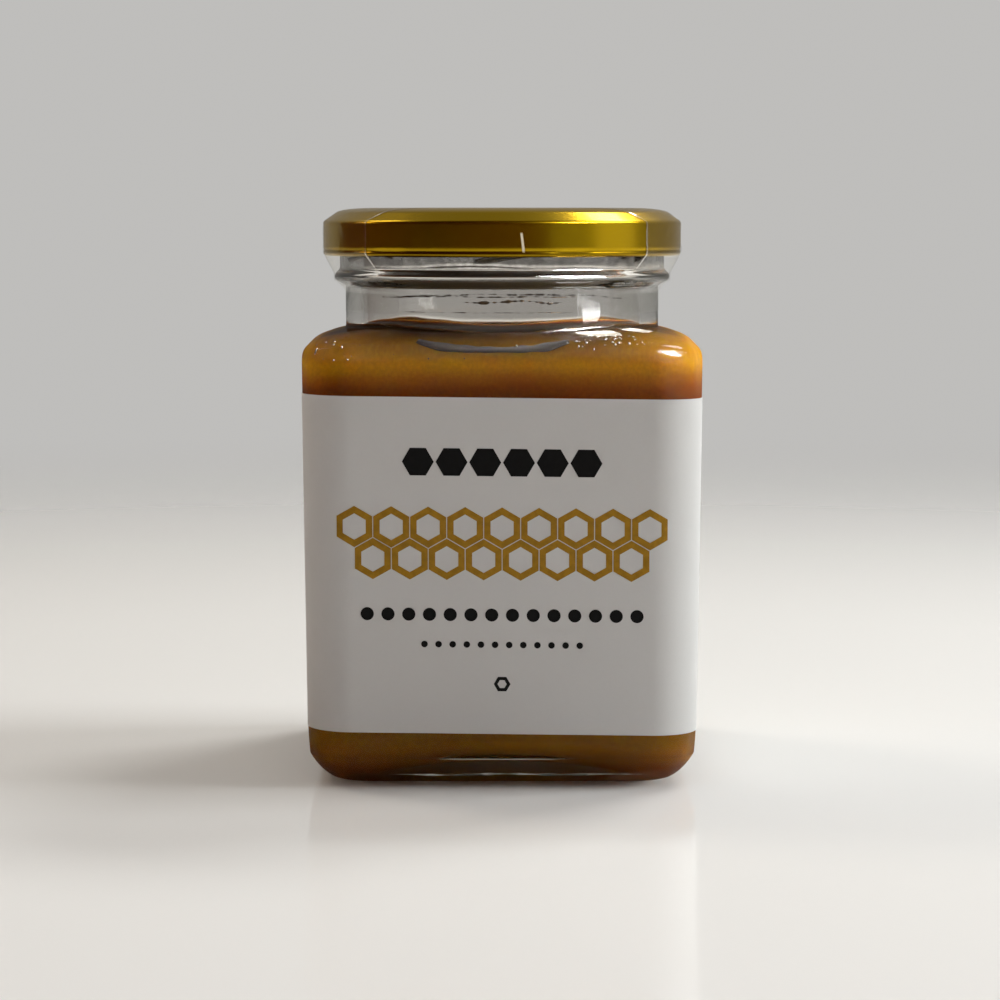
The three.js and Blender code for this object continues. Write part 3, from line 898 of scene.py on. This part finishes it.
def glass_finish():
    """Clear wavy glass, muted outside, with painted shade at the neck's edges and dull grey specks
    under the lid.
    """
    tint = rgb(0.985, 0.975, 0.955)
    rough = 0.04
    bend = 1.5
    finish = Finish("clear_glass", base_color=tint, roughness=rough, ior=bend, transmission_weight=1.0,
                    specular_tint=rgb(0.9, 0.9, 0.9))
    finish.bump(finish.noise(60.0), 0.0004, 0.25)
    z = finish.axes()[2]
    bare = finish.node("ShaderNodeBsdfRefraction", {"Color": tint, "Roughness": rough, "IOR": bend})
    going_out = finish.node("ShaderNodeNewGeometry", output="Backfacing")
    mute = (1.0 - going_out) * (0.85 - 0.45 * z.between(0.104, 0.107))
    below_lid = 1.0 - z.between(0.1206, 0.1222)
    aside = finish.aside()
    # Painted shade: a near-black dull coat on the neck's edges where they are seen from the side
    edge = aside * aside * z.between(0.1045, 0.107) * below_lid * 0.25
    specks = finish.noise(420.0, 4.0, 0.7).between(0.40, 0.62) * 0.7 + 0.3
    # Darker dull grey specks in a band just under the lid
    under_lid_dulling = specks * z.between(0.1166, 0.1186) * below_lid * 0.30
    muted = finish.mixed(mute, finish.solid, bare)
    edge_shaded = finish.mixed(edge, muted, finish.dull(rgb(0.003, 0.003, 0.002)))
    dulled_under_lid = finish.mixed(under_lid_dulling, edge_shaded, finish.dull(rgb(0.11, 0.10, 0.085)))
    shadow = finish.node("ShaderNodeLightPath", output="Is Shadow Ray")
    finish.surface(finish.mixed(shadow, dulled_under_lid, finish.see_through(rgb(0.93, 0.95, 0.94))))
    return finish.material


def honey_finish():
    """Creamed honey: light goes into it, with a fine crystal grain and paler swirls."""
    finish = Finish("creamed_honey", roughness=0.45, specular_ior_level=0.05, subsurface_weight=1.0,
                    subsurface_radius=(1.0, 0.55, 0.14), subsurface_scale=0.006)
    grain = finish.noise(1100.0, 2.0, 0.6)
    swirl = finish.noise(28.0, 3.0)
    x, y, z = finish.axes()
    uneven_z = z + (swirl - 0.5) * 0.004
    inputs = {"Value": uneven_z, "From Min": 0.005, "From Max": 0.1035}
    height = finish.node("ShaderNodeMapRange", inputs)
    # Painted light and shade by height: darkest around the label's top edge, a lit band where the
    # shoulder begins
    stops = [
        (0.00, rgb(0.44, 0.205, 0.003)),
        (0.14, rgb(0.38, 0.165, 0.002)),
        (0.50, rgb(0.25, 0.060, 0.001)),
        (0.58, rgb(0.28, 0.072, 0.001)),
        (0.656, rgb(0.42, 0.155, 0.002)),
        (0.735, rgb(0.61, 0.300, 0.001)),
        (1.00, rgb(0.57, 0.275, 0.002)),
    ]
    light_by_height = finish.node("ShaderNodeValToRGB", {"Fac": height**4.0})
    ramp = light_by_height.socket.node.color_ramp.elements
    while len(ramp) < len(stops):
        ramp.new(1.0)
    for element, (place, colour) in zip(ramp, stops):
        element.position = place
        element.color = colour
    # Painted shade: darker at the very bottom, where little light reaches
    low = 1.0 - z.between(0.004, 0.0125)
    light_by_height = low.blend(light_by_height, rgb(0.15, 0.034, 0.001))
    # Painted shade under the neck, weaker at the corners, and darker still on the thin top around the
    # bore
    corner = z.maths("MINIMUM", abs(x), abs(y)).between(0.020, 0.036)
    neck_shade = uneven_z.between(0.0955, 0.1018) * (1.0 - corner * 0.4)
    shaded = neck_shade.blend(light_by_height, rgb(0.085, 0.030, 0.001))
    film = z.between(0.1012, 0.1026)
    depth = film.blend(shaded, rgb(0.065, 0.028, 0.006))
    mood = (swirl * 0.45 + grain * 0.55).between(0.36, 0.64)
    pale = mood.blend(rgb(0.80, 0.77, 0.70), rgb(1.0, 1.0, 1.0))
    inputs = {"Factor": 1.0, 6: depth, 7: pale}
    speckled = finish.node("ShaderNodeMix", inputs, 2, data_type="RGBA", blend_type="MULTIPLY")
    finish.feed("Base Color", speckled)
    return finish.material


def lid_finish():
    """Gold lacquer on tinplate with fine orange peel, a thin pale streak at the front and painted shade
    on the curl.
    """
    finish = Finish("gold_lacquer", coat_weight=0.06, coat_roughness=0.06,
                    specular_tint=rgb(0.98, 0.91, 0.72))
    x, y, z = finish.axes()
    peel = finish.noise(1500.0, 3.0) * 0.4 + finish.noise(380.0)
    cloud = finish.noise(25.0)
    inside = finish.painted("inside")
    # A thin pale streak at the front, rougher than the lacquer
    side = abs(x - 0.0046 + (z - 0.124) * 0.12)
    pale_streak = (1.0 - side.between(0.00015, 0.0004)) * z.between(0.1215, 0.1222)
    pale_streak = pale_streak * (1.0 - z.between(0.1258, 0.1264)) * (1.0 - y.between(-0.03, -0.02))
    gold = cloud.blend(rgb(0.39, 0.243, 0.003), rgb(0.445, 0.283, 0.006))
    # Painted shade: the curl at the foot of the skirt is a darker gold
    gold = z.between(0.1211, 0.1226).blend(rgb(0.24, 0.145, 0.003), gold)
    outside = pale_streak.blend(gold, rgb(0.75, 0.70, 0.55))
    finish.feed("Base Color", inside.blend(outside, rgb(0.13, 0.095, 0.05)))
    finish.feed("Roughness", 0.19 + cloud * 0.08 + pale_streak * 0.4 + inside * 0.4)
    finish.feed("Metallic", 1.0 - inside * 0.9)
    finish.bump(peel, 0.00008, 0.16)
    return finish.material


def paper_finish():
    """White uncoated paper with fine fibres and a little grubbiness."""
    finish = Finish("label_paper", roughness=0.72, specular_ior_level=0.25)
    fibre = finish.noise(1500.0, 4.0, 0.7)
    patch = finish.noise(45.0, 3.0)
    tone = patch * 0.6 + fibre * 0.4
    finish.feed("Base Color", tone.blend(rgb(0.665, 0.667, 0.652), rgb(0.73, 0.735, 0.724)))
    finish.bump(fibre + patch * 2.0, 0.00003, 0.35)
    return finish.material


def uneven_finish(name, scale, detail, low, high, first, second, **constants):
    """One colour that runs into another in fine patches."""
    finish = Finish(name, **constants)
    patch = finish.noise(scale, detail).between(low, high)
    finish.feed("Base Color", patch.blend(first, second))
    return finish.material


def ink_finish(name, colour, metallic):
    """Printing ink with a slightly uneven lay."""
    darker = rgb(*(0.8 * part for part in colour[:3]))
    return uneven_finish(name, 700.0, 3.0, 0.35, 0.65, darker, colour,
                         metallic=metallic, roughness=0.5, specular_ior_level=0.1)


def film_finish():
    """Clear film that mostly shows what is under it and shines at a low angle."""
    finish = Finish("clear_film", base_color=rgb(0.9, 0.9, 0.88), metallic=1.0, roughness=0.16)
    finish.bump(finish.noise(160.0, 3.0), 0.0006, 0.35)
    on_lid = finish.axes()[2].between(0.1175, 0.1195)
    gloss = 0.03 + 0.2 * finish.aside() ** 5.0 + finish.painted("border") * on_lid * 0.3
    finish.surface(finish.mixed(gloss, finish.see_through(rgb(0.985, 0.985, 0.98)), finish.solid))
    return finish.material


def air_finish():
    """Air against glass, which shines like a mirror where it shuts the honey out."""
    finish = Finish("air_in_honey", roughness=0.16)
    patch = finish.noise(300.0)
    # Painted shade along each pocket's lower side and painted light along its upper side
    tone = finish.painted("rise").between(0.25, 0.9) * 0.75 + patch * 0.25
    finish.feed("Base Color", tone.blend(rgb(0.05, 0.042, 0.034), rgb(0.30, 0.275, 0.25)))
    finish.feed("Metallic", 0.35 + patch * 0.3)
    return finish.material


def dress(piece, material):
    """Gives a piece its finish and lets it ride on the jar."""
    if material is not None:
        piece.data.materials.clear()
        piece.data.materials.append(material)
    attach(piece, "root")
    return piece


# Printed motifs on the front of the label

def lay_on_label(mesh, up):
    """Bends a flat motif onto the label, placed from the middle of the lower edge of its front."""
    flat = np.empty(len(mesh.vertices) * 3)
    mesh.vertices.foreach_get("co", flat)
    flat = flat.reshape(-1, 3) / MM
    x = flat[:, 0]
    z = LABEL_LOW + flat[:, 1] + up - math.tan(LABEL_SLANT) * x
    paper = body_half(z) + LABEL_GAP + LABEL_THICK + PRINT_LIFT
    corner = paper - CORNER_CENTRE
    bend = np.maximum(np.abs(x) - CORNER_CENTRE, 0.0) / corner
    side = np.minimum(np.abs(x), CORNER_CENTRE) + corner * np.sin(bend)
    depth = CORNER_CENTRE + corner * np.cos(bend)
    points = np.stack([np.sign(x) * side, -depth, z], axis=-1) * MM
    mesh.vertices.foreach_set("co", points.ravel())
    mesh.update()


def make_print():
    """Rows of plain motifs in gold and dark ink."""
    tree = motif_row_tree()
    gold = ink_finish("gold_ink", rgb(0.42, 0.225, 0.018), 0.15)
    dark = ink_finish("dark_ink", rgb(0.006, 0.006, 0.006), 0.0)
    upright = math.radians(30)
    # name, ink, height, count, spacing, radius, hollow share, corners, turn
    rows = [
        ("print_cells_top", dark, 62.0, 6, 7.6, 3.6, 0.0, 6, 0.0),
        ("print_cells_gold_low", gold, 39.9, 8, 8.35, 4.7, 0.64, 6, upright),
        ("print_cells_gold_high", gold, 47.13, 9, 8.35, 4.7, 0.64, 6, upright),
        ("print_dots", dark, 27.3, 14, 4.7, 1.5, 0.0, 24, 0.0),
        ("print_dots_small", dark, 20.5, 12, 3.2, 0.75, 0.0, 20, 0.0),
        ("print_cell_low", dark, 11.5, 1, 1.0, 1.9, 0.55, 6, 0.0),
    ]
    for name, ink, up, count, spacing, radius, hollow, corners, turn in rows:
        motif = run_tree(
            name, tree, Count=count, Spacing=spacing * MM, Radius=radius * MM, Hollow=hollow,
            Corners=corners, Turn=turn, Material=ink,
        )
        lay_on_label(motif.data, up)
        dress(motif, None)


# Air, smears and painted highlight streaks

def make_air():
    """Air under the shoulder, neck smears and painted highlight lines in the base; gives back what
    glints.
    """
    air = air_finish()
    # name, middle, half width, low turn, rise, half turn in degrees, thickness, bluntness of the ends
    pockets = [
        ("air_crescent", -92.6, 23.4, 21.0, 9.0, 2.9, 0.04, 0.03),
        ("air_lens_near", -57.0, 6.5, 54.0, 4.0, 11.0, 0.08, 0.5),
        ("air_lens_far", -40.0, 5.5, 58.0, 3.0, 9.0, 0.08, 0.5),
    ]
    shining = [dress(make_air_pocket(*pocket), air) for pocket in pockets][1:]
    # Painted highlight: pale strips inside the heel for the light that the thick base gathers
    streak = uneven_finish("base_streak", 180.0, 2.0, 0.38, 0.62,
                           rgb(0.22, 0.22, 0.19), rgb(0.92, 0.93, 0.88), roughness=0.4)
    for quarter, side in enumerate(("front", "right", "back", "left")):
        dress(make_base_streak("base_streak_" + side, quarter), streak)
    smear = uneven_finish("honey_smear", 900.0, 2.0, 0.35, 0.65,
                          rgb(0.030, 0.016, 0.005), rgb(0.09, 0.055, 0.024), roughness=0.3)
    # name, start and end in degrees, height, half height, seed
    smears = [
        ("honey_smear_middle", -106.0, -66.0, 110.3, 0.42, 41),
        ("honey_smear_high", -138.0, -58.0, 111.5, 0.16, 43),
        ("honey_smear_low", -132.0, -60.0, 107.9, 0.10, 47),
        ("honey_smear_back", 20.0, 160.0, 110.3, 0.22, 53),
    ]
    for shape in smears:
        dress(make_smear(*shape), smear)
    tree = bubble_tree()
    # name, start, end, low and high turn in degrees, bubbles a square metre, smallest, largest, seed
    patches = [
        ("bubbles_front_right", -68.0, -50.0, 22.0, 46.0, 520000.0, 0.10, 0.34, 3),
        ("bubbles_front_left", -140.0, -128.0, 4.0, 24.0, 220000.0, 0.08, 0.24, 5),
        ("bubbles_all_round", -45.0, 315.0, 6.0, 60.0, 9000.0, 0.08, 0.26, 8),
    ]
    for name, *limits, density, least, most, seed in patches:
        ground = shoulder_patch(name + "_ground", *limits)
        bubbles = run_tree(
            name, tree, ground, Density=density, Smallest=least * MM, Largest=most * MM, Seed=seed,
            Material=air,
        )
        shining.append(dress(bubbles, None))
    return shining


# Stage

def make_floor():
    """A pale floor that fades out of the camera's sight far from the jar."""
    size = 3000.0
    corners = [(-size, -size, 0.0), (size, -size, 0.0), (size, size, 0.0), (-size, size, 0.0)]
    floor = linked_object("floor", new_mesh("floor", corners, [(0, 1, 2, 3)]))
    finish = Finish("pale_floor", base_color=rgb(0.93, 0.93, 0.905), roughness=0.12,
                    specular_ior_level=0.2)
    far = finish.node("ShaderNodeVectorMath", {0: finish.place()}, "Value", operation="LENGTH")
    seen = finish.node("ShaderNodeLightPath", output="Is Camera Ray")
    fade = seen * far.between(0.25, 1.1)
    finish.surface(finish.mixed(fade, finish.solid, finish.see_through(rgb(1.0, 1.0, 1.0))))
    floor.data.materials.append(finish.material)
    return floor


def make_flag():
    """Dark cards in front, on the left and overhead, seen only in reflections, that shade the front."""
    left, right, front, back, low, high = -1000.0, 550.0, -950.0, 100.0, -20.0, 1300.0
    side_back = 700.0
    corners = [
        (left, front, low), (right, front, low), (right, front, high), (left, front, high),
        (right, back, high), (left, back, high), (left, side_back, low), (left, side_back, high),
    ]
    faces = [(0, 3, 2, 1), (3, 5, 4, 2), (0, 6, 7, 3)]
    flag = linked_object("flag", new_mesh("flag", corners, faces))
    finish = Finish("dark_card", base_color=rgb(0.08, 0.012, 0.004), roughness=0.9)
    flag.data.materials.append(finish.material)
    flag.visible_camera = False


def area_light(name, azimuth, distance, height, width, length, power, colour, aim):
    """A softbox around the jar; azimuth 0 is at the camera and 90 at the right."""
    lamp = bpy.data.lights.new(name, "AREA")
    lamp.shape = "RECTANGLE"
    lamp.size = width
    lamp.size_y = length
    lamp.energy = power
    lamp.color = colour
    holder = linked_object(name, lamp)
    turn = math.radians(azimuth)
    holder.location = (distance * math.sin(turn), -distance * math.cos(turn), height)
    to_jar = Vector((0.0, 0.0, aim)) - holder.location
    holder.rotation_euler = to_jar.to_track_quat("-Z", "Y").to_euler()
    return holder


def only_glints(light):
    """Let a lamp shine in reflections but not on through the glass to what lies inside."""
    light.use_nodes = True
    tree = light.node_tree
    emission = next(node for node in tree.nodes if node.type == "EMISSION")
    depth = Wire(tree).node("ShaderNodeLightPath", output="Diffuse Depth")
    depth.maths("LESS_THAN", depth, 0.5).to(emission.inputs["Strength"])


def make_lights(shining, ground):
    """Soft studio light. Two lamps only make the shining pieces glint and one only lights the floor."""
    white = (1.0, 1.0, 1.0)
    # name, azimuth, distance, height, width, length, watts, colour, height of the aim
    rows = [
        ("window_right", 90, 0.75, 0.75, 0.4, 0.36, 6.0, (0.97, 0.985, 1.0), 0.07),
        ("panel_right", 76, 1.05, 0.32, 0.62, 0.64, 0.7, (0.98, 0.99, 1.0), 0.2),
        ("lamp_left", -100, 0.9, 0.5, 0.12, 0.2, 0.5, (1.0, 0.80, 0.55), 0.07),
        ("under_glass", 60, 1.0, 0.95, 0.5, 0.2, 20.0, white, 0.07),
        ("glint_right", 60, 0.95, 0.95, 0.75, 1.0, 560.0, white, 0.07),
        ("neck_glint", 67, 0.95, 0.0775, 0.24, 0.006, 0.2, white, 0.1),
        ("floor_light", -15, 0.4, 1.2, 0.8, 0.4, 1.5, (0.98, 1.0, 1.0), 0.07),
        ("soft_right_back", 140, 0.75, 1.0, 0.4, 0.22, 6.5, (1.0, 0.99, 0.97), 0.07),
        ("soft_left_back", -126, 0.8, 1.0, 0.3, 0.3, 1.6, (1.0, 0.90, 0.78), 0.07),
    ]
    lamps = {row[0]: area_light(*row) for row in rows}
    for name in ("glint_right", "neck_glint"):
        lamps[name].light_linking.receiver_collection = shining
        only_glints(lamps[name].data)
    lamps["floor_light"].light_linking.receiver_collection = ground
    lamps["under_glass"].visible_diffuse = False
    for name in ("under_glass", "soft_right_back", "soft_left_back"):
        lamps[name].visible_transmission = False


def make_world():
    """A dim room, with a paler backdrop where the camera looks past the jar."""
    world = bpy.data.worlds.new("studio")
    world.use_nodes = True
    tree = world.node_tree
    room = tree.nodes["Background"]
    room.inputs["Color"].default_value = rgb(0.30, 0.293, 0.28)
    room = Wire(tree, room.outputs[0])
    backdrop = room.node("ShaderNodeBackground", {"Color": rgb(0.52, 0.513, 0.50)})
    seen = room.node("ShaderNodeLightPath", output="Is Camera Ray")
    both = room.node("ShaderNodeMixShader", {0: seen, 1: room, 2: backdrop})
    both.to(tree.nodes["World Output"].inputs["Surface"])
    bpy.context.scene.world = world


def make_camera():
    lens = bpy.data.cameras.new("camera")
    lens.lens = CAMERA_LENS
    lens.sensor_width = CAMERA_SENSOR
    camera = linked_object("camera", lens)
    camera.location = (CAMERA_SIDE * MM, -CAMERA_BACK * MM, CAMERA_HEIGHT * MM)
    camera.rotation_euler = (math.pi / 2 - CAMERA_DROP, 0.0, 0.0)
    bpy.context.scene.camera = camera


def main():
    bpy.context.scene.view_settings.view_transform = "Standard"
    make_camera()
    make_world()
    shining = bpy.data.collections.new("shining")
    ground = bpy.data.collections.new("ground")
    ground.objects.link(make_floor())
    make_flag()
    make_lights(shining, ground)

    glass = dress(make_glass(), glass_finish())
    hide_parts("jar")
    honey = dress(make_honey(), honey_finish())
    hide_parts("honey")
    lid = dress(make_lid(), lid_finish())
    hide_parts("lid")
    label = dress(make_label(), paper_finish())
    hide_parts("label")
    tape = dress(make_tape(), film_finish())
    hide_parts("seal_tape")
    make_print()
    for piece in [glass] + make_air():
        shining.objects.link(piece)


main()
